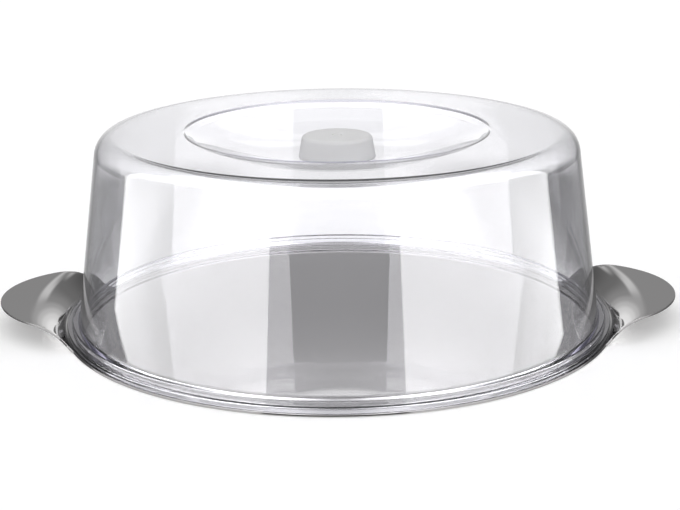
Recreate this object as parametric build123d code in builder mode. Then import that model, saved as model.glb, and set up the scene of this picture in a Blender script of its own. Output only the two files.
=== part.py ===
"""Round serving plate with two wing handles, and its clear cover with a knob.

All sizes are in millimetres. +Z is up, +X runs through the wing handles, and the
origin is on the surface that the plate stands on, under the middle of the plate.
"""
import os
from math import atan2, hypot, radians, tan

from build123d import *

# Serving plate
sheet = 1.2
rim_radius = 155.0

# Wing handles, in the same sheet as the plate
wing_length = 36.6
wing_outline_radius = 59.2
wing_root_fillet = 8.0
wing_rise = 11.7
riser_angle = 51.0
riser_foot_round = 2.5
wing_shoulder_round = 20.0
wing_slope = 2.6

# Foot of the cover
rim_margin = 1.4
flange_width = 3.0
flange_height = 2.8
flange_edge_round = 0.6
collar_height = 2.6
collar_ledge = 4.0
collar_edge_round = 0.8
wall_root_round = 1.0

# Wall, shoulder and top of the cover
cover_wall = 2.2
cover_height = 108.1
wall_draft = 7.8
shoulder_round = 11.3

# Bowl sunk in the top of the cover
top_ring_width = 48.4
bowl_lip_width = 4.6
bowl_lip_drop = 3.1
bowl_lip_round = 3.0
bowl_depth = 16.1
bowl_floor_margin = 23.5
bowl_flat_margin = 1.3

# Knob on the floor of the bowl
knob_radius = 21.5
knob_height = 12.1
knob_draft = 10.0
knob_wall = 2.0
knob_edge_round = 2.4
gate_mark_radius = 2.7
gate_mark_depth = 0.5

# Heights and radii that follow from the sizes above
wing_reach = rim_radius + wing_length
wing_centre = wing_reach - wing_outline_radius
flange_radius = rim_radius - rim_margin
collar_radius = flange_radius - flange_width
collar_top = sheet + flange_height + collar_height
wall_foot_radius = collar_radius - collar_ledge
wall_slope = tan(radians(wall_draft))
wall_base_radius = wall_foot_radius + (collar_top - sheet) * wall_slope
root_top = collar_top + collar_height
root_top_radius = wall_foot_radius - collar_height * wall_slope
cover_top = sheet + cover_height
wall_head_radius = wall_foot_radius - (cover_top - collar_top) * wall_slope
bowl_radius = wall_head_radius - top_ring_width
bowl_floor = cover_top - bowl_depth
bowl_floor_radius = knob_radius + bowl_floor_margin
bowl_side_run = bowl_radius - bowl_lip_width - bowl_floor_radius
bowl_side_rise = bowl_depth - bowl_lip_drop
bowl_side_angle = atan2(bowl_side_rise, bowl_side_run)
bowl_side_length = hypot(bowl_side_run, bowl_side_rise)
knob_top = bowl_floor + knob_height
knob_head_radius = knob_radius - knob_height * tan(radians(knob_draft))

# The bowl's floor is flat round the knob, then curves up; the lip keeps its end of the side
bowl_curve_reach = min(bowl_floor_margin - bowl_flat_margin, bowl_side_length - bowl_lip_round)
bowl_floor_round = bowl_curve_reach / tan(bowl_side_angle / 2)

os.makedirs("parts", exist_ok=True)

# Serving plate: flat disc and wing handles, all one sheet
riser_head = rim_radius + wing_rise / tan(radians(riser_angle))
sheet_end = wing_reach + sheet
sheet_end_top = sheet + wing_rise + (sheet_end - riser_head) * tan(radians(wing_slope))

with BuildPart() as serving_plate:
    with BuildSketch(Plane.XZ):
        with BuildLine():
            plate_top = FilletPolyline(
                (0, sheet),
                (rim_radius, sheet),
                (riser_head, sheet + wing_rise),
                (sheet_end, sheet_end_top),
                radius=[riser_foot_round, wing_shoulder_round],
            )
            offset(plate_top, amount=sheet, side=Side.RIGHT)
        make_face()
    revolve(axis=Axis.Z)
    # The plan outline: the rim's circle, with a round wing on each side of it
    with BuildSketch():
        Circle(rim_radius)
        with Locations((wing_centre, 0), (-wing_centre, 0)):
            Circle(wing_outline_radius)
        fillet(vertices(), radius=wing_root_fillet)
    extrude(amount=sheet_end_top + sheet, mode=Mode.INTERSECT)

# Cover: drafted wall, shoulder, top ring and sunken bowl, with a solid collar and flange
with BuildPart() as cover:
    with BuildSketch(Plane.XZ):
        with BuildLine():
            cover_outside = FilletPolyline(
                (wall_base_radius, sheet),
                (wall_head_radius, cover_top),
                (bowl_radius, cover_top),
                (bowl_radius - bowl_lip_width, cover_top - bowl_lip_drop),
                (bowl_floor_radius, bowl_floor),
                (0, bowl_floor),
                radius=[shoulder_round, bowl_lip_round, bowl_lip_round, bowl_floor_round],
            )
            offset(cover_outside, amount=cover_wall, side=Side.LEFT)
        make_face()
    revolve(axis=Axis.Z)
    split(bisect_by=Plane.XY.offset(sheet), keep=Keep.TOP)
    # The collar and the flange, which reach into the middle of the wall
    with BuildSketch(Plane.XZ):
        with BuildLine():
            foot_outside = FilletPolyline(
                (collar_radius, sheet),
                (collar_radius, collar_top),
                (wall_foot_radius, collar_top),
                (root_top_radius, root_top),
                radius=[collar_edge_round, wall_root_round],
            )
            Polyline(
                foot_outside @ 1,
                (root_top_radius - cover_wall / 2, root_top),
                (wall_base_radius - cover_wall / 2, sheet),
                foot_outside @ 0,
            )
        make_face()
        with BuildSketch(Plane.XY, mode=Mode.PRIVATE) as flange_section:
            with Locations((wall_base_radius, sheet)):
                Rectangle(
                    flange_radius - wall_base_radius,
                    flange_height,
                    align=(Align.MIN, Align.MIN),
                )
            fillet(flange_section.vertices().group_by(Axis.X)[-1], radius=flange_edge_round)
        add(flange_section.sketch)
    revolve(axis=Axis.Z)

# Knob: hollow tapered cap that stands on the bowl's floor
with BuildPart() as knob:
    with BuildSketch(Plane.XZ):
        with BuildLine():
            knob_outside = FilletPolyline(
                (knob_radius, bowl_floor),
                (knob_head_radius, knob_top),
                (0, knob_top),
                radius=knob_edge_round,
            )
            offset(knob_outside, amount=knob_wall, side=Side.LEFT)
        make_face()
    revolve(axis=Axis.Z)
    split(bisect_by=Plane.XY.offset(bowl_floor), keep=Keep.TOP)
    with BuildSketch(Plane.XY.offset(knob_top)):
        Circle(gate_mark_radius)
    extrude(amount=-gate_mark_depth, mode=Mode.SUBTRACT)

serving_plate.part.label = "serving_plate"
cover.part.label = "cover"
knob.part.label = "knob"
export_step(serving_plate.part, "parts/serving_plate.step")
export_step(cover.part, "parts/cover.step")
export_step(knob.part, "parts/knob.step")
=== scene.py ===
"""Round steel serving plate with two wing handles, under a clear cover with a frosted knob.

Everything is in metres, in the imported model's frame: +Z is up, +X runs through the wing
handles, and the plate stands on Z = 0 with its middle at the origin.
"""
import math

import bmesh
import bpy
from bpy.props import FloatProperty, FloatVectorProperty, IntProperty, PointerProperty
from mathutils import Euler, Matrix, Vector
from mathutils.geometry import intersect_line_line


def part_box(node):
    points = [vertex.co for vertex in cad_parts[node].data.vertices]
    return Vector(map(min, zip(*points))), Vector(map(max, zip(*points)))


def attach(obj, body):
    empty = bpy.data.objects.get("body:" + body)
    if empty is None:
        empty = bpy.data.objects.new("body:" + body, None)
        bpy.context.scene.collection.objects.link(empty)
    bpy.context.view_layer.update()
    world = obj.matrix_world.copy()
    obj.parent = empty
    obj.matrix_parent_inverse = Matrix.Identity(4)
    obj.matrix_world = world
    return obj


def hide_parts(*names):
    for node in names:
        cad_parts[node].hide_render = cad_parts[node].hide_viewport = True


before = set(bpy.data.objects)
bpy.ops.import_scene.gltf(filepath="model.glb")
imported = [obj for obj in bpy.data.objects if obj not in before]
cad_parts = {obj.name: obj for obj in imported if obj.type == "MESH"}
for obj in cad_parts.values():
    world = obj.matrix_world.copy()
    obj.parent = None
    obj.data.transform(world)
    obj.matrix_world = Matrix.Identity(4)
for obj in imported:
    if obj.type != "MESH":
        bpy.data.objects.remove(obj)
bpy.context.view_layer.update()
_, plate_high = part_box("serving_plate")
cover_low, cover_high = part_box("cover")
knob_low, knob_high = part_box("knob")

bl_info = {
    "name": "Covered serving plate",
    "version": (1, 0, 0),
    "blender": (4, 5, 0),
    "location": "3D View > Sidebar > Serving plate",
    "description": "Makes a steel serving plate, its clear cover and knob, and their studio",
    "category": "Add Mesh",
}

UP = Vector((0, 0, 1))
ACROSS = Vector((0, 1, 0))
WHITE = (1, 1, 1, 1)
BLACK = (0, 0, 0, 1)


# Sizes and colours that a user would change


class ServingPlateSizes(bpy.types.PropertyGroup):
    """Sizes and finish of the pressed steel plate"""

    sheet: FloatProperty(
        name="Sheet", description="Thickness of the steel sheet",
        default=cover_low.z, min=0.0006, max=0.003, unit="LENGTH", precision=4,
    )
    rim_radius: FloatProperty(
        name="Rim radius", description="Radius of the round rim between the handles",
        default=plate_high.y, min=0.1, max=0.25, unit="LENGTH",
    )
    wing_reach: FloatProperty(
        name="Wing reach", description="Distance from the middle to the end of a handle",
        default=plate_high.x, min=0.12, max=0.3, unit="LENGTH",
    )
    wing_outline_radius: FloatProperty(
        name="Wing outline radius", description="Radius of a handle's outline, seen from above",
        default=0.0592, min=0.02, max=0.1, unit="LENGTH",
    )
    wing_root_fillet: FloatProperty(
        name="Wing root fillet", description="Fillet where the outline of a handle meets the rim",
        default=0.008, min=0.002, max=0.02, unit="LENGTH",
    )
    wing_rise: FloatProperty(
        name="Wing rise", description="How far a handle stands above the rim",
        default=0.0117, min=0.0, max=0.04, unit="LENGTH",
    )
    riser_angle: FloatProperty(
        name="Riser angle", description="Slope of the sheet where it leaves the rim",
        default=math.radians(51.0), min=0.2, max=1.5, subtype="ANGLE",
    )
    wing_slope: FloatProperty(
        name="Wing slope", description="Slope of the handle's outer part",
        default=math.radians(2.6), min=0.0, max=0.5, subtype="ANGLE",
    )
    steel: FloatVectorProperty(
        name="Steel", description="Colour of the polished stainless steel",
        default=(0.70, 0.69, 0.69), min=0.0, max=1.0, size=3, subtype="COLOR",
    )


class CoverSizes(bpy.types.PropertyGroup):
    """Sizes and finish of the clear cover"""

    flange_radius: FloatProperty(
        name="Flange radius", description="Radius of the thick ring at the foot",
        default=cover_high.x, min=0.1, max=0.25, unit="LENGTH",
    )
    flange_height: FloatProperty(
        name="Flange height", description="Height of the thick ring at the foot",
        default=0.0028, min=0.001, max=0.008, unit="LENGTH", precision=4,
    )
    collar_radius: FloatProperty(
        name="Collar radius", description="Radius of the upright collar above the flange",
        default=0.1506, min=0.1, max=0.25, unit="LENGTH",
    )
    collar_height: FloatProperty(
        name="Collar height", description="Height of the collar above the flange",
        default=0.0026, min=0.001, max=0.01, unit="LENGTH", precision=4,
    )
    collar_ledge: FloatProperty(
        name="Collar ledge", description="Width of the ledge between collar and wall",
        default=0.004, min=0.001, max=0.01, unit="LENGTH", precision=4,
    )
    foot_gap: FloatProperty(
        name="Foot gap", description="Hair of air between the foot and the plate",
        default=0.00005, min=0.0, max=0.001, unit="LENGTH", precision=5,
    )
    wall: FloatProperty(
        name="Wall", description="Thickness of the plastic",
        default=0.0022, min=0.001, max=0.004, unit="LENGTH", precision=4,
    )
    wall_draft: FloatProperty(
        name="Wall draft", description="How far the wall leans in",
        default=math.radians(7.8), min=0.0, max=0.4, subtype="ANGLE",
    )
    shoulder_round: FloatProperty(
        name="Shoulder round", description="Radius of the rounded shoulder",
        default=0.0113, min=0.002, max=0.03, unit="LENGTH",
    )
    top_ring_width: FloatProperty(
        name="Top ring width", description="Width of the flat ring round the bowl",
        default=0.0484, min=0.01, max=0.08, unit="LENGTH",
    )
    bowl_lip_width: FloatProperty(
        name="Bowl lip width", description="Width of the sloping lip round the bowl",
        default=0.0046, min=0.001, max=0.01, unit="LENGTH", precision=4,
    )
    bowl_lip_drop: FloatProperty(
        name="Bowl lip drop", description="How far the lip falls from the top ring",
        default=0.0031, min=0.001, max=0.01, unit="LENGTH", precision=4,
    )
    bowl_lip_round: FloatProperty(
        name="Bowl lip round", description="Radius of the lip's two edges",
        default=0.003, min=0.0005, max=0.01, unit="LENGTH", precision=4,
    )
    bowl_depth: FloatProperty(
        name="Bowl depth", description="Depth of the bowl sunk in the top",
        default=0.0161, min=0.004, max=0.04, unit="LENGTH",
    )
    bowl_floor_radius: FloatProperty(
        name="Bowl floor radius", description="Where the bowl's side would meet its flat floor",
        default=0.045, min=0.02, max=0.08, unit="LENGTH",
    )
    bowl_floor_round: FloatProperty(
        name="Bowl floor round",
        description="Radius of the curve from the bowl's floor to its side",
        default=0.1220, min=0.01, max=0.3, unit="LENGTH",
    )
    plastic: FloatVectorProperty(
        name="Plastic", description="Colour of the clear plastic's surface",
        default=(0.99, 0.99, 1.0), min=0.0, max=1.0, size=3, subtype="COLOR",
    )
    depth_tint: FloatVectorProperty(
        name="Depth tint", description="Colour that the plastic takes on where it is thick",
        default=(0.78, 0.76, 0.93), min=0.0, max=1.0, size=3, subtype="COLOR",
    )


class KnobSizes(bpy.types.PropertyGroup):
    """Sizes and finish of the frosted knob"""

    foot_radius: FloatProperty(
        name="Foot radius", description="Radius of the knob where it stands in the bowl",
        default=knob_high.x, min=0.008, max=0.04, unit="LENGTH",
    )
    draft: FloatProperty(
        name="Draft", description="How far the knob's side leans in",
        default=math.radians(10.0), min=0.0, max=0.6, subtype="ANGLE",
    )
    wall: FloatProperty(
        name="Wall", description="Thickness of the knob's shell",
        default=0.002, min=0.0008, max=0.004, unit="LENGTH", precision=4,
    )
    edge_round: FloatProperty(
        name="Edge round", description="Radius of the knob's top edge",
        default=0.0024, min=0.0005, max=0.006, unit="LENGTH", precision=4,
    )
    gate_mark_radius: FloatProperty(
        name="Gate mark radius", description="Radius of the moulding mark in the top",
        default=0.0027, min=0.001, max=0.006, unit="LENGTH", precision=4,
    )
    gate_mark_depth: FloatProperty(
        name="Gate mark depth", description="Depth of the moulding mark",
        default=0.0005, min=0.0001, max=0.001, unit="LENGTH", precision=4,
    )
    plastic: FloatVectorProperty(
        name="Frosted plastic", description="Colour of the frosted plastic",
        default=(0.94, 0.94, 0.945), min=0.0, max=1.0, size=3, subtype="COLOR",
    )


class StudioSettings(bpy.types.PropertyGroup):
    """Light and camera of the studio"""

    light_level: FloatProperty(
        name="Light level", description="Brightness of the even light on the object",
        default=1.0, min=0.0, max=3.0,
    )
    panel_level: FloatProperty(
        name="Panel level", description="Brightness of the two soft panels that gloss reflects",
        default=4.0, min=0.0, max=10.0,
    )
    floor_colour: FloatVectorProperty(
        name="Floor colour", description="Colour of the floor",
        default=(0.98, 0.98, 0.98), min=0.0, max=1.0, size=3, subtype="COLOR",
    )
    lens: FloatProperty(
        name="Lens", description="Focal length of the camera, in millimetres on a 36 mm sensor",
        default=81.77, min=20.0, max=300.0,
    )
    turning_steps: IntProperty(
        name="Turning steps", description="Number of steps in a full turn of a turned piece",
        default=256, min=64, max=512,
    )


# Mesh tools


class SectionPen:
    """Draws half of a turned piece's section in the XZ plane, from the axis outwards."""

    def __init__(self, mesh, radius, height):
        self.mesh = mesh
        self.tip = bmesh.ops.create_vert(mesh, co=(radius, 0, height))["vert"][0]

    def line_to(self, place):
        """Draws a straight run to a place."""
        if (place - self.tip.co).length > 1e-6:
            grown = bmesh.ops.extrude_vert_indiv(self.mesh, verts=[self.tip])
            self.tip = grown["verts"][0]
            self.tip.co = place

    def arc(self, centre, turn):
        """Draws a true arc about a centre, in steps of about six degrees."""
        steps = max(3, math.ceil(abs(turn) / math.radians(6)))
        swept = bmesh.ops.spin(
            self.mesh, geom=[self.tip], cent=centre, axis=ACROSS, angle=turn, steps=steps
        )
        self.tip = swept["geom_last"][0]

    def through(self, corners, guard=0.0004):
        """Draws on through (radius, height, round) corners, and ends at the last one."""
        places = [Vector((radius, 0, height)) for radius, height, _ in corners]
        start = self.tip.co.copy()
        for index, (_, _, rounding) in enumerate(corners[:-1]):
            before = start if index == 0 else places[index - 1]
            corner = places[index]
            along = (corner - before).normalized()
            onward = (places[index + 1] - corner).normalized()
            turn = along.angle(onward)
            if rounding <= 0:
                self.line_to(corner)
                continue
            side = math.copysign(1, along.cross(onward).y)
            tangent = rounding * math.tan(turn / 2)
            arc_start = corner - along * tangent
            if (arc_start - self.tip.co).dot(along) > 2 * guard:
                self.line_to(arc_start - along * guard)
            self.line_to(arc_start)
            self.arc(arc_start + ACROSS.cross(along) * side * rounding, side * turn)
            arc_end = corner + onward * tangent
            if (places[index + 1] - arc_end).dot(onward) > 2 * guard:
                self.line_to(arc_end + onward * guard)
        self.line_to(places[-1])


def parallel_corners(corners, distance):
    """Gives the corners of a line that runs at a distance to the right of another one."""
    places = [Vector((radius, 0, height)) for radius, height, _ in corners]
    runs = []
    for start, end in zip(places, places[1:]):
        shift = ACROSS.cross((end - start).normalized()) * distance
        runs.append((start + shift, end + shift))
    moved = [runs[0][0]]
    for first, second in zip(runs, runs[1:]):
        moved.append(intersect_line_line(*first, *second)[0])
    moved.append(runs[-1][1])
    rounds = []
    for index, (_, _, rounding) in enumerate(corners):
        change = 0.0
        if 0 < index < len(corners) - 1:
            bend = (places[index] - places[index - 1]).cross(places[index + 1] - places[index]).y
            change = -distance if bend > 0 else distance
        rounds.append(max(0.0, rounding + change) if rounding > 0 else 0.0)
    return [(place.x, place.z, rounding) for place, rounding in zip(moved, rounds)]


def turn_section(mesh, steps):
    """Spins a section once round the Z axis, and closes the seam and the poles."""
    merge_distance = 0.000002
    bmesh.ops.spin(
        mesh, geom=mesh.verts[:] + mesh.edges[:], cent=(0, 0, 0), axis=UP,
        angle=math.tau, steps=steps, use_merge=True,
    )
    bmesh.ops.remove_doubles(mesh, verts=mesh.verts, dist=merge_distance)
    bmesh.ops.recalc_face_normals(mesh, faces=mesh.faces)


def new_object(mesh, name, material):
    """Makes an object at the origin from a mesh, in the scene."""
    data = bpy.data.meshes.new(name)
    mesh.to_mesh(data)
    mesh.free()
    data.materials.append(material)
    thing = bpy.data.objects.new(name, data)
    bpy.context.scene.collection.objects.link(thing)
    return thing


def finish_piece(mesh, name, material, node, body, sharp_angle=35.0):
    """Makes the piece's object, which stands for a CAD node and rides on its body."""
    for face in mesh.faces:
        face.smooth = True
    piece = new_object(mesh, name, material)
    piece.data.set_sharp_from_angle(angle=math.radians(sharp_angle))
    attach(piece, body)
    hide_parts(node)
    return piece


# Material tools


def new_material(name):
    """Makes an empty node material, and gives it with its output node."""
    material = bpy.data.materials.new(name)
    material.use_nodes = True
    material.node_tree.nodes.clear()
    return material, material.node_tree.nodes.new("ShaderNodeOutputMaterial")


def add_node(tree, kind, inputs=None, **settings):
    """Adds a node, with its settings and the values or links of its inputs."""
    node = tree.nodes.new(kind)
    for name, value in settings.items():
        setattr(node, name, value)
    for name, value in (inputs or {}).items():
        if isinstance(value, bpy.types.NodeSocket):
            tree.links.new(value, node.inputs[name])
        else:
            node.inputs[name].default_value = value
    return node


def math_node(tree, operation, *values):
    """Adds a Math node and gives its output."""
    node = tree.nodes.new("ShaderNodeMath")
    node.operation = operation
    for slot, value in zip(node.inputs, values):
        if isinstance(value, bpy.types.NodeSocket):
            tree.links.new(value, slot)
        else:
            slot.default_value = value
    return node.outputs[0]


def join(tree, operation, *values):
    """Joins two or more values with one operation, and gives the result."""
    result = values[0]
    for value in values[1:]:
        result = math_node(tree, operation, result, value)
    return result


def map_range(tree, value, low, high, to_low, to_high, interpolation="LINEAR"):
    """Adds a Map Range node and gives its output."""
    node = add_node(
        tree, "ShaderNodeMapRange",
        {"Value": value, "From Min": low, "From Max": high, "To Min": to_low, "To Max": to_high},
        interpolation_type=interpolation,
    )
    return node.outputs["Result"]


def ease(tree, value, low, high, to_low, to_high):
    """Adds a Map Range node with a smooth step and gives its output."""
    return map_range(tree, value, low, high, to_low, to_high, "SMOOTHSTEP")


def band(tree, value, rise, fall):
    """Gives 1 between a rise and a fall, which are pairs of values, and 0 outside them."""
    return math_node(
        tree, "MULTIPLY", ease(tree, value, *rise, 0.0, 1.0), ease(tree, value, *fall, 1.0, 0.0)
    )


def at_least(tree, depth, count):
    """Gives 1 where light has bounced at least a number of times, and 0 elsewhere."""
    return math_node(tree, "GREATER_THAN", depth, count - 0.5)


def fewer_than(tree, depth, count):
    """Gives 1 where light has bounced fewer than a number of times, and 0 elsewhere."""
    return math_node(tree, "LESS_THAN", depth, count - 0.5)


def noise(tree, place, scale, detail):
    """Adds a Noise Texture node and gives its value."""
    node = add_node(
        tree, "ShaderNodeTexNoise", {"Vector": place, "Scale": scale, "Detail": detail}
    )
    return node.outputs["Fac"]


def bump(tree, height, strength, distance):
    """Adds a Bump node and gives its normal."""
    node = add_node(
        tree, "ShaderNodeBump", {"Height": height, "Strength": strength, "Distance": distance}
    )
    return node.outputs["Normal"]


def shaded(colour, share):
    """Gives a share of a colour, as four channels."""
    return (*(channel * share for channel in colour), 1)


def mix_colours(tree, factor, first, second):
    """Adds a Mix node for two colours and gives its output."""
    node = add_node(
        tree, "ShaderNodeMix", {"Factor": factor, "A": first, "B": second}, data_type="RGBA"
    )
    return node.outputs["Result"]


def mix_values(tree, factor, first, second):
    """Adds a Mix node for two values and gives its output."""
    node = add_node(tree, "ShaderNodeMix", {"Factor": factor, "A": first, "B": second})
    return node.outputs["Result"]


def mix_shaders(tree, factor, first, second, output):
    """Mixes two shaders, and links the result to the material's surface."""
    mix = tree.nodes.new("ShaderNodeMixShader")
    tree.links.new(factor, mix.inputs[0])
    tree.links.new(first.outputs["BSDF"], mix.inputs[1])
    tree.links.new(second.outputs["BSDF"], mix.inputs[2])
    tree.links.new(mix.outputs["Shader"], output.inputs["Surface"])


# Finishes


def mirror_steel(colour):
    """Stainless steel with a bright rolled finish, faint wiping marks, and a rougher cut edge whose
    colour is darkened as painted shade.
    """
    grain_scale = (60.0, 1400.0, 1400.0)
    # The second share darkens the cut edge's colour: painted shade
    cloud_share, edge_shade_share = 0.985, 0.95
    edge_roughness = 0.12
    material, output = new_material("mirror_steel")
    tree = material.node_tree
    place = add_node(tree, "ShaderNodeTexCoord").outputs["Object"]
    clouds = noise(tree, place, 22.0, 3.0)
    grain_place = add_node(tree, "ShaderNodeMapping", {"Vector": place, "Scale": grain_scale})
    grain = noise(tree, grain_place.outputs["Vector"], 1.0, 2.0)
    facing = add_node(
        tree, "ShaderNodeSeparateXYZ",
        {"Vector": add_node(tree, "ShaderNodeTexCoord").outputs["Normal"]},
    )
    level = math_node(tree, "ABSOLUTE", facing.outputs["Z"])
    # Mask of the upright cut edge, which is made rougher and given a darker colour as painted shade
    cut_edge_and_shade = ease(tree, level, 0.2, 0.55, 1.0, 0.0)
    sheet = mix_colours(tree, clouds, shaded(colour, cloud_share), shaded(colour, 1.0))
    roughness = join(
        tree, "ADD",
        map_range(tree, clouds, 0.3, 0.7, 0.02, 0.03),
        map_range(tree, grain, 0.3, 0.7, 0.0, 0.006),
        math_node(tree, "MULTIPLY", cut_edge_and_shade, edge_roughness),
    )
    shader = add_node(
        tree, "ShaderNodeBsdfPrincipled",
        {
            "Base Color": mix_colours(tree, cut_edge_and_shade, sheet, shaded(colour, edge_shade_share)),
            "Metallic": 1.0, "Roughness": roughness,
            "Normal": bump(tree, grain, 0.004, 0.00002),
        },
    )
    tree.links.new(shader.outputs["BSDF"], output.inputs["Surface"])
    return material


def clear_plastic(colour, depth_tint):
    """Clear moulded plastic that lets lamps through, with a faint tint where it is thick."""
    lamp_tint = (0.96, 0.96, 0.97, 1)
    above_foot = 0.05
    material, output = new_material("clear_plastic")
    tree = material.node_tree
    place = add_node(tree, "ShaderNodeTexCoord").outputs["Object"]
    flow = noise(tree, place, 9.0, 2.0)
    shader = add_node(
        tree, "ShaderNodeBsdfPrincipled",
        {
            "Base Color": shaded(colour, 1.0), "IOR": 1.52, "Transmission Weight": 1.0,
            "Roughness": map_range(tree, flow, 0.3, 0.7, 0.0, 0.002),
            "Normal": bump(tree, flow, 0.02, 0.0005),
        },
    )
    passing = add_node(tree, "ShaderNodeBsdfTransparent", {"Color": lamp_tint})
    # Light that is caught between the faces of the bowl's lip is let out, or it ends in black
    path = add_node(tree, "ShaderNodeLightPath").outputs
    height = add_node(tree, "ShaderNodeSeparateXYZ", {"Vector": place}).outputs["Z"]
    caught = math_node(
        tree, "MULTIPLY", at_least(tree, path["Glossy Depth"], 4),
        math_node(tree, "GREATER_THAN", height, above_foot),
    )
    let_through = math_node(tree, "MAXIMUM", path["Is Shadow Ray"], caught)
    mix_shaders(tree, let_through, shader, passing, output)
    depth = add_node(
        tree, "ShaderNodeVolumeAbsorption", {"Color": shaded(depth_tint, 1.0), "Density": 18.0}
    )
    tree.links.new(depth.outputs["Volume"], output.inputs["Volume"])
    return material


def frosted_plastic(colour):
    """Frosted moulded plastic, with a fine even grain."""
    cloud_share = 0.97
    material, output = new_material("frosted_plastic")
    tree = material.node_tree
    place = add_node(tree, "ShaderNodeTexCoord").outputs["Object"]
    grain = noise(tree, place, 1500.0, 2.0)
    clouds = noise(tree, place, 60.0, 2.0)
    shader = add_node(
        tree, "ShaderNodeBsdfPrincipled",
        {
            "Base Color": mix_colours(
                tree, clouds, shaded(colour, cloud_share), shaded(colour, 1.0)
            ),
            "Roughness": map_range(tree, clouds, 0.3, 0.7, 0.42, 0.5),
            "IOR": 1.52, "Transmission Weight": 0.45,
            "Normal": bump(tree, grain, 0.15, 0.00005),
        },
    )
    tree.links.new(shader.outputs["BSDF"], output.inputs["Surface"])
    return material


# Finishes and light of the studio


def floor_shade(tree, place):
    """Gives the shade behind the object, which darkens to both sides and most on the far ones."""
    off_centre = math_node(tree, "ABSOLUTE", place["X"])
    near_side = ease(tree, off_centre, 0.045, 0.118, 0.0, 0.74)
    lighter = math_node(
        tree, "MULTIPLY", ease(tree, off_centre, 0.118, 0.135, 0.0, 1.0),
        map_range(tree, place["X"], -0.1, 0.1, 0.10, 0.0),
    )
    far_side = math_node(
        tree, "MULTIPLY", ease(tree, off_centre, 0.14, 0.17, 0.0, 1.0),
        map_range(tree, place["X"], -0.1, 0.1, 0.14, 0.21),
    )
    sides = math_node(tree, "ADD", near_side, math_node(tree, "SUBTRACT", far_side, lighter))
    return math_node(tree, "MULTIPLY", sides, band(tree, place["Y"], (0.0, 0.12), (0.33, 0.42)))


def floor_finish(colour):
    """Plain pale floor that keeps shadows, shaded behind the object where plastic shows it."""
    camera_glow, plastic_glow = 0.05, 0.20
    material, output = new_material("studio_floor")
    tree = material.node_tree
    place = add_node(
        tree, "ShaderNodeSeparateXYZ",
        {"Vector": add_node(tree, "ShaderNodeTexCoord").outputs["Object"]},
    ).outputs
    path = add_node(tree, "ShaderNodeLightPath").outputs
    in_plastic = path["Is Transmission Ray"]
    shade = math_node(tree, "MULTIPLY", floor_shade(tree, place), in_plastic)
    glow = math_node(
        tree, "ADD", math_node(tree, "MULTIPLY", path["Is Camera Ray"], camera_glow),
        math_node(tree, "MULTIPLY", in_plastic, plastic_glow),
    )
    shader = add_node(
        tree, "ShaderNodeBsdfPrincipled",
        {
            "Base Color": mix_colours(tree, shade, shaded(colour, 1.0), BLACK),
            "Roughness": 0.9, "Specular IOR Level": 0.0,
            "Emission Color": WHITE, "Emission Strength": glow,
        },
    )
    # Light that was mirrored before it went through plastic passes the floor, as bare gloss does
    mirrored = math_node(tree, "MULTIPLY", in_plastic, at_least(tree, path["Glossy Depth"], 1))
    passing = add_node(tree, "ShaderNodeBsdfTransparent")
    mix_shaders(tree, mirrored, shader, passing, output)
    material.cycles.emission_sampling = "NONE"
    return material


def panel_finish(level):
    """Glow of a soft panel: bright in mirroring plastic, dim in steel, plain white through it."""
    steel_level = 0.65
    material, output = new_material("soft_panel")
    tree = material.node_tree
    path = add_node(tree, "ShaderNodeLightPath").outputs
    in_covered_steel = math_node(
        tree, "MULTIPLY", at_least(tree, path["Transmission Depth"], 4),
        fewer_than(tree, path["Glossy Depth"], 2),
    )
    # Steel blurs a little what it mirrors, and plastic doesn't, so only plastic's rays are singular
    in_bare_steel = join(
        tree, "MULTIPLY", fewer_than(tree, path["Transmission Depth"], 1),
        fewer_than(tree, path["Diffuse Depth"], 1),
        math_node(tree, "SUBTRACT", 1.0, path["Is Singular Ray"]),
    )
    in_steel = math_node(tree, "MAXIMUM", in_covered_steel, in_bare_steel)
    mirrored = mix_values(tree, in_steel, level, steel_level)
    strength = mix_values(tree, at_least(tree, path["Glossy Depth"], 1), 1.0, mirrored)
    glow = add_node(tree, "ShaderNodeEmission", {"Color": WHITE, "Strength": strength})
    tree.links.new(glow.outputs["Emission"], output.inputs["Surface"])
    material.cycles.emission_sampling = "NONE"
    return material


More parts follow.
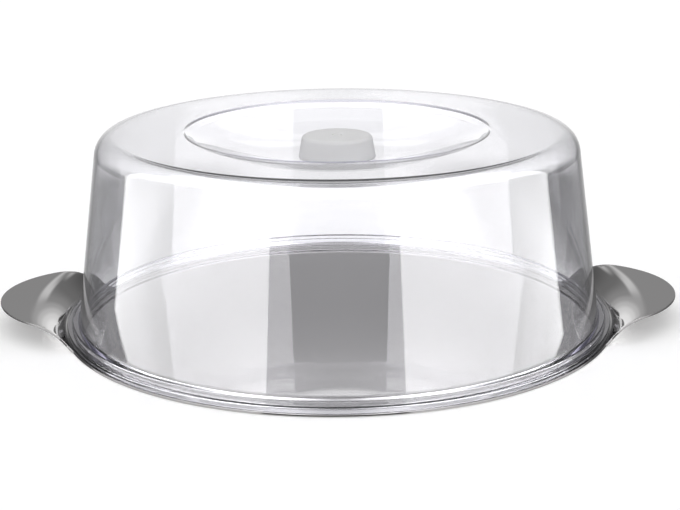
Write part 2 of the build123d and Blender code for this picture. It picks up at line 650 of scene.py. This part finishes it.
def back_glow(tree, azimuth, elevation):
    """Gives the glow behind the object, which fades to all sides and has three bright spots."""
    sideways_share = 0.8
    last_angle = 40.0
    levels = (
        (0.0, 1.0), (5.0, 0.95), (10.0, 0.78), (13.5, 0.60), (17.0, 0.43), (20.0, 0.31),
        (28.0, 0.19), (last_angle, 0.11),
    )
    sideways = math_node(tree, "MULTIPLY", azimuth, sideways_share)
    upwards = math_node(tree, "MAXIMUM", elevation, 0.0)
    away = math_node(
        tree, "SQRT",
        math_node(
            tree, "ADD", math_node(tree, "MULTIPLY", sideways, sideways),
            math_node(tree, "MULTIPLY", upwards, upwards),
        ),
    )
    glow = tree.nodes.new("ShaderNodeValToRGB")
    ramp = glow.color_ramp
    ramp.interpolation = "EASE"
    while len(ramp.elements) < len(levels):
        ramp.elements.new(1.0)
    for element, (angle, value) in zip(ramp.elements, levels):
        element.position = angle / last_angle
        element.color = (value, value, value, 1)
    tree.links.new(math_node(tree, "DIVIDE", away, last_angle), glow.inputs["Fac"])
    off_axis = math_node(tree, "ABSOLUTE", azimuth)
    off_centre = math_node(tree, "ABSOLUTE", math_node(tree, "SUBTRACT", azimuth, 1.0))
    centre_spot = join(
        tree, "MULTIPLY", ease(tree, off_centre, 3.0, 8.0, 0.42, 0.0),
        band(tree, elevation, (17.0, 23.0), (23.5, 29.0)),
    )
    high_spot = join(
        tree, "MULTIPLY", ease(tree, off_axis, 8.0, 16.0, 0.40, 0.0),
        band(tree, elevation, (27.0, 31.0), (34.5, 38.0)),
    )
    side_spots = join(
        tree, "MULTIPLY", band(tree, off_axis, (55.0, 68.0), (95.0, 120.0)), 1.3,
        band(tree, elevation, (1.0, 5.0), (10.0, 17.0)),
    )
    return join(tree, "ADD", glow.outputs["Color"], high_spot, centre_spot, side_spots)


def table_glow(tree, forwards, azimuth, elevation):
    """Gives the pale table before the object, below an edge that sinks towards the sides."""
    edge = math_node(
        tree, "ADD", map_range(tree, forwards, -1.0, -0.91, -5.5, -6.2),
        map_range(tree, forwards, -0.91, -0.4, 0.0, -3.8),
    )
    front = math_node(
        tree, "MULTIPLY", ease(tree, forwards, -0.5, 0.1, 3.0, 0.35),
        ease(tree, elevation, -12.0, -7.0, 0.35, 1.0),
    )
    back = ease(tree, math_node(tree, "ABSOLUTE", azimuth), 12.0, 22.0, 0.5, 0.0)
    below_edge = ease(tree, math_node(tree, "SUBTRACT", elevation, edge), -0.3, 0.0, 1.0, 0.0)
    return math_node(tree, "MULTIPLY", math_node(tree, "ADD", front, back), below_edge)


def overhead_glow(tree, direction, elevation):
    """Gives the soft light overhead, brighter to both sides."""
    edge = map_range(tree, direction["Y"], -0.4, 0.5, 30.0, 50.0)
    level = ease(tree, math_node(tree, "ABSOLUTE", direction["X"]), 0.03, 0.25, 0.8, 2.4)
    above_edge = ease(tree, math_node(tree, "SUBTRACT", elevation, edge), -8.0, 14.0, 0.0, 1.0)
    return math_node(tree, "MULTIPLY", level, above_edge)


def studio_world(level):
    """White to the camera, even for the light, and for gloss a studio of soft glows."""
    world = bpy.data.worlds.new("studio")
    world.use_nodes = True
    tree = world.node_tree
    tree.nodes.clear()
    output = tree.nodes.new("ShaderNodeOutputWorld")
    direction = add_node(
        tree, "ShaderNodeSeparateXYZ",
        {"Vector": add_node(tree, "ShaderNodeTexCoord").outputs["Generated"]},
    ).outputs
    degrees = 180 / math.pi
    azimuth = math_node(
        tree, "MULTIPLY", math_node(tree, "ARCTAN2", direction["X"], direction["Y"]), degrees
    )
    elevation = math_node(
        tree, "MULTIPLY", math_node(tree, "ARCSINE", direction["Z"]), degrees
    )
    gloss = join(
        tree, "MAXIMUM",
        back_glow(tree, azimuth, elevation),
        table_glow(tree, direction["Y"], azimuth, elevation),
        overhead_glow(tree, direction, elevation),
    )
    path = add_node(tree, "ShaderNodeLightPath").outputs
    in_gloss = math_node(tree, "MAXIMUM", path["Is Glossy Ray"], path["Is Transmission Ray"])
    lit = mix_values(tree, in_gloss, level, gloss)
    strength = mix_values(tree, path["Is Camera Ray"], lit, 1.0)
    background = add_node(tree, "ShaderNodeBackground", {"Color": WHITE, "Strength": strength})
    tree.links.new(background.outputs["Background"], output.inputs["Surface"])
    return world


# Operators that make the pieces


class MakeServingPlate(bpy.types.Operator):
    """Make the flat serving plate with its two wing handles"""

    bl_idname = "covered_plate.make_serving_plate"
    bl_label = "Make serving plate"

    def execute(self, context):
        sizes = context.scene.serving_plate_sizes
        turning_steps = 360
        ring_radii = (0.02, 0.05, 0.08, 0.11, 0.13, 0.145)
        riser_foot_round, wing_shoulder_round = 0.0025, 0.020
        spare_length = 0.004
        edge_width = 0.00025
        wing_top = sizes.sheet + sizes.wing_rise
        riser_head = sizes.rim_radius + sizes.wing_rise / math.tan(sizes.riser_angle)
        far_end = sizes.wing_reach + spare_length
        far_height = wing_top + (far_end - riser_head) * math.tan(sizes.wing_slope)
        mesh = bmesh.new()
        pen = SectionPen(mesh, 0, sizes.sheet)
        for radius in ring_radii:
            pen.line_to(Vector((radius, 0, sizes.sheet)))
        pen.through([
            (sizes.rim_radius, sizes.sheet, riser_foot_round),
            (riser_head, wing_top, wing_shoulder_round),
            (far_end, far_height, 0),
        ])
        section = sorted((vert.co.x, vert.co.z) for vert in mesh.verts)
        turn_section(mesh, turning_steps)
        self.trim_to_outline(mesh, sizes, section)
        bmesh.ops.recalc_face_normals(mesh, faces=mesh.faces)
        if mesh.faces[0].normal.z < 0:
            bmesh.ops.reverse_faces(mesh, faces=mesh.faces)
        piece = finish_piece(
            mesh, "plate_sheet", mirror_steel(sizes.steel), "serving_plate", "plate",
        )
        thickness = piece.modifiers.new("sheet", "SOLIDIFY")
        thickness.thickness = sizes.sheet
        thickness.offset = -1.0
        thickness.use_even_offset = True
        edge = piece.modifiers.new("edge", "BEVEL")
        edge.width = edge_width
        edge.segments = 2
        edge.limit_method = "ANGLE"
        edge.angle_limit = math.radians(60)
        edge.harden_normals = True
        return {"FINISHED"}

    def trim_to_outline(self, mesh, sizes, section):
        """Draws in what lies outside the plan outline, onto the outline."""
        cut_distance, merge_distance = 0.00001, 0.00002
        rim_margin, outline_margin = 0.0008, 0.0006
        cut_angles = [
            side + turn for side in (0, math.pi) for root in self.root_angles(sizes)
            for turn in (root, -root)
        ]
        for angle in cut_angles:
            bmesh.ops.bisect_plane(
                mesh, geom=mesh.verts[:] + mesh.edges[:] + mesh.faces[:], dist=cut_distance,
                plane_co=(0, 0, 0), plane_no=(-math.sin(angle), math.cos(angle), 0),
            )
        for vert in mesh.verts:
            radius = math.hypot(vert.co.x, vert.co.y)
            if radius < sizes.rim_radius - rim_margin:
                continue
            angle = math.atan2(vert.co.y, vert.co.x)
            reach = self.outline_reach(sizes, angle)
            if radius > reach - outline_margin:
                height = self.height_at(section, reach)
                vert.co = (reach * math.cos(angle), reach * math.sin(angle), height)
        bmesh.ops.remove_doubles(mesh, verts=mesh.verts, dist=merge_distance)
        bmesh.ops.dissolve_degenerate(mesh, edges=mesh.edges, dist=merge_distance)

    def root_angles(self, sizes):
        """Gives the angles between which the outline's fillets run, closely spaced."""
        first, last = self.fillet_angles(sizes)
        count = 14
        return [first + (last - first) * index / count for index in range(count + 1)]

    def fillet_angles(self, sizes):
        """Gives the angles where a root fillet touches the wing's outline and the rim."""
        centre = sizes.wing_reach - sizes.wing_outline_radius
        outer = sizes.rim_radius + sizes.wing_root_fillet
        wing = sizes.wing_outline_radius + sizes.wing_root_fillet
        last = math.acos((centre ** 2 + outer ** 2 - wing ** 2) / (2 * centre * outer))
        place = Vector((outer * math.cos(last) - centre, outer * math.sin(last)))
        touch = place * (sizes.wing_outline_radius / wing)
        return math.atan2(touch.y, touch.x + centre), last

    def outline_reach(self, sizes, angle):
        """Gives the plan outline's distance from the middle in a direction."""
        turn = abs(math.remainder(angle, math.pi))
        centre = sizes.wing_reach - sizes.wing_outline_radius
        first, last = self.fillet_angles(sizes)
        if turn >= last:
            return sizes.rim_radius
        if turn >= first:
            outer = sizes.rim_radius + sizes.wing_root_fillet
            off = outer * math.sin(turn - last)
            inset = math.sqrt(sizes.wing_root_fillet ** 2 - off ** 2)
            return outer * math.cos(turn - last) - inset
        off = centre * math.sin(turn)
        return centre * math.cos(turn) + math.sqrt(sizes.wing_outline_radius ** 2 - off ** 2)

    def height_at(self, section, radius):
        """Gives the section's height at a radius."""
        for (start, low), (end, high) in zip(section, section[1:]):
            if start <= radius <= end and end > start:
                return low + (high - low) * (radius - start) / (end - start)
        return section[-1][1]


class MakeCover(bpy.types.Operator):
    """Make the clear cover with its bowl, shoulder, wall, collar and flange"""

    bl_idname = "covered_plate.make_cover"
    bl_label = "Make cover"

    def execute(self, context):
        sizes = context.scene.cover_sizes
        wall_root_round, collar_edge_round = 0.001, 0.0008
        flange_root_round, flange_edge_round, foot_edge_round = 0.0003, 0.0006, 0.0002
        foot = cover_low.z
        top = cover_high.z
        collar_top = foot + sizes.flange_height + sizes.collar_height
        wall_foot = sizes.collar_radius - sizes.collar_ledge
        wall_head = wall_foot - (top - collar_top) * math.tan(sizes.wall_draft)
        wall_base = wall_foot + (collar_top - foot) * math.tan(sizes.wall_draft)
        bowl_radius = wall_head - sizes.top_ring_width
        bowl_floor = top - sizes.bowl_depth
        bowl_and_shoulder = [
            (0, bowl_floor, 0),
            (sizes.bowl_floor_radius, bowl_floor, sizes.bowl_floor_round),
            (
                bowl_radius - sizes.bowl_lip_width, top - sizes.bowl_lip_drop,
                sizes.bowl_lip_round,
            ),
            (bowl_radius, top, sizes.bowl_lip_round),
            (wall_head, top, sizes.shoulder_round),
        ]
        inside = parallel_corners(bowl_and_shoulder + [(wall_base, foot, 0)], sizes.wall)
        foot_inside = wall_base - sizes.wall / math.cos(sizes.wall_draft)
        foot_bottom = foot + sizes.foot_gap
        flange_top = foot + sizes.flange_height
        collar_and_flange = [
            (wall_foot, collar_top, wall_root_round),
            (sizes.collar_radius, collar_top, collar_edge_round),
            (sizes.collar_radius, flange_top, flange_root_round),
            (sizes.flange_radius, flange_top, flange_edge_round),
            (sizes.flange_radius, foot_bottom, flange_edge_round),
            (foot_inside, foot_bottom, foot_edge_round),
        ]
        mesh = bmesh.new()
        pen = SectionPen(mesh, 0, bowl_floor)
        pen.through(bowl_and_shoulder[1:] + collar_and_flange + inside[-2::-1])
        turn_section(mesh, context.scene.studio_settings.turning_steps)
        finish_piece(
            mesh, "cover_shell", clear_plastic(sizes.plastic, sizes.depth_tint), "cover", "lid",
        )
        return {"FINISHED"}


class MakeKnob(bpy.types.Operator):
    """Make the frosted knob with its moulding mark"""

    bl_idname = "covered_plate.make_knob"
    bl_label = "Make knob"

    def execute(self, context):
        sizes = context.scene.knob_sizes
        turning_steps = 128
        mark_slope, mark_floor_round, mark_edge_round = 0.0002, 0.0002, 0.0001
        foot_edge_round = 0.0003
        foot = knob_low.z
        top = knob_high.z
        head_radius = sizes.foot_radius - (top - foot) * math.tan(sizes.draft)
        outside = [
            (0, top, 0),
            (head_radius, top, sizes.edge_round),
            (sizes.foot_radius, foot, 0),
        ]
        inside = parallel_corners(outside, sizes.wall)
        foot_inside = intersect_line_line(
            Vector((inside[1][0], 0, inside[1][1])), Vector((inside[2][0], 0, inside[2][1])),
            Vector((0, 0, foot)), Vector((1, 0, foot)),
        )[0].x
        mark = top - sizes.gate_mark_depth
        mesh = bmesh.new()
        pen = SectionPen(mesh, 0, mark)
        pen.through([
            (sizes.gate_mark_radius, mark, mark_floor_round),
            (sizes.gate_mark_radius + mark_slope, top, mark_edge_round),
            outside[1],
            (sizes.foot_radius, foot, foot_edge_round),
            (foot_inside, foot, foot_edge_round),
            inside[1],
            (0, inside[0][1], 0),
        ], guard=0.0003)
        turn_section(mesh, turning_steps)
        finish_piece(
            mesh, "knob_cap", frosted_plastic(sizes.plastic), "knob", "lid"
        )
        return {"FINISHED"}


class SetStudio(bpy.types.Operator):
    """Set the floor, the soft panels, the even light and the camera"""

    bl_idname = "covered_plate.set_studio"
    bl_label = "Set studio"

    def execute(self, context):
        settings = context.scene.studio_settings
        left_foot = ((-0.349, -0.669), (-0.827, 0.232))
        right_foot = ((0.424, -0.927), (0.662, 0.122))
        context.scene.view_settings.view_transform = "Standard"
        context.scene.world = studio_world(settings.light_level)
        self.lay_floor(settings)
        glow = panel_finish(settings.panel_level)
        self.stand_panel("left_panel", left_foot, low=-0.11, high=2.2, finish=glow)
        self.stand_panel("right_panel", right_foot, low=-0.10, high=2.2, finish=glow)
        self.place_camera(context.scene, settings)
        return {"FINISHED"}

    def lay_floor(self, settings):
        """Lays the floor, which gloss doesn't see."""
        half_width = 6.0
        mesh = bmesh.new()
        bmesh.ops.create_grid(mesh, x_segments=1, y_segments=1, size=half_width)
        floor = self.add_stage_piece(mesh, "floor", floor_finish(settings.floor_colour))
        floor.visible_glossy = False

    def stand_panel(self, name, foot, low, high, finish):
        """Stands a soft panel beside the set, seen only in gloss and through the cover."""
        near, far = foot
        mesh = bmesh.new()
        start = bmesh.ops.create_vert(mesh, co=(*near, low))["vert"]
        bmesh.ops.extrude_vert_indiv(mesh, verts=start)
        mesh.verts.ensure_lookup_table()
        mesh.verts[1].co = (*far, low)
        grown = bmesh.ops.extrude_edge_only(mesh, edges=mesh.edges[:])
        bmesh.ops.translate(
            mesh, vec=(0, 0, high - low),
            verts=[item for item in grown["geom"] if isinstance(item, bmesh.types.BMVert)],
        )
        panel = self.add_stage_piece(mesh, name, finish)
        panel.visible_camera = False
        panel.visible_diffuse = False
        panel.visible_shadow = False
        panel.visible_volume_scatter = False

    def add_stage_piece(self, mesh, name, finish):
        """Makes an object of the studio, which isn't part of the object."""
        piece = new_object(mesh, name, finish)
        return piece

    def place_camera(self, scene, settings):
        """Puts the camera where the photograph was taken from."""
        place = (-0.0079, -0.8416, 0.2821)
        pitch, yaw, roll = 0.2848, 0.0106, 0.0094
        data = bpy.data.cameras.new("camera")
        data.lens = settings.lens
        data.sensor_width = 36.0
        data.clip_start = 0.05
        data.clip_end = 50.0
        camera = bpy.data.objects.new("camera", data)
        turned = Euler((math.pi / 2 - pitch, 0, -yaw)).to_matrix().to_4x4()
        rolled = Matrix.Rotation(-roll, 4, "Z")
        camera.matrix_world = Matrix.Translation(place) @ turned @ rolled
        scene.collection.objects.link(camera)
        scene.camera = camera


class CoveredPlatePanel(bpy.types.Panel):
    """Lists the steps that make the covered serving plate"""

    bl_idname = "VIEW3D_PT_covered_plate"
    bl_label = "Covered serving plate"
    bl_space_type = "VIEW_3D"
    bl_region_type = "UI"
    bl_category = "Serving plate"

    def draw(self, context):
        for title, group, operator in STEPS:
            box = self.layout.box()
            box.label(text=title)
            settings = getattr(context.scene, group)
            for name in settings.__annotations__:
                box.prop(settings, name)
            box.operator(operator.bl_idname)


STEPS = (
    ("Serving plate", "serving_plate_sizes", MakeServingPlate),
    ("Cover", "cover_sizes", MakeCover),
    ("Knob", "knob_sizes", MakeKnob),
    ("Studio", "studio_settings", SetStudio),
)
SETTINGS = {
    "serving_plate_sizes": ServingPlateSizes,
    "cover_sizes": CoverSizes,
    "knob_sizes": KnobSizes,
    "studio_settings": StudioSettings,
}
CLASSES = (*SETTINGS.values(), *(operator for _, _, operator in STEPS), CoveredPlatePanel)


def register():
    for cls in CLASSES:
        bpy.utils.register_class(cls)
    for name, group in SETTINGS.items():
        setattr(bpy.types.Scene, name, PointerProperty(type=group))


def unregister():
    for name in SETTINGS:
        delattr(bpy.types.Scene, name)
    for cls in reversed(CLASSES):
        bpy.utils.unregister_class(cls)


def main():
    register()
    bpy.ops.covered_plate.make_serving_plate()
    bpy.ops.covered_plate.make_cover()
    bpy.ops.covered_plate.make_knob()
    bpy.ops.covered_plate.set_studio()


if __name__ == "__main__":
    main()
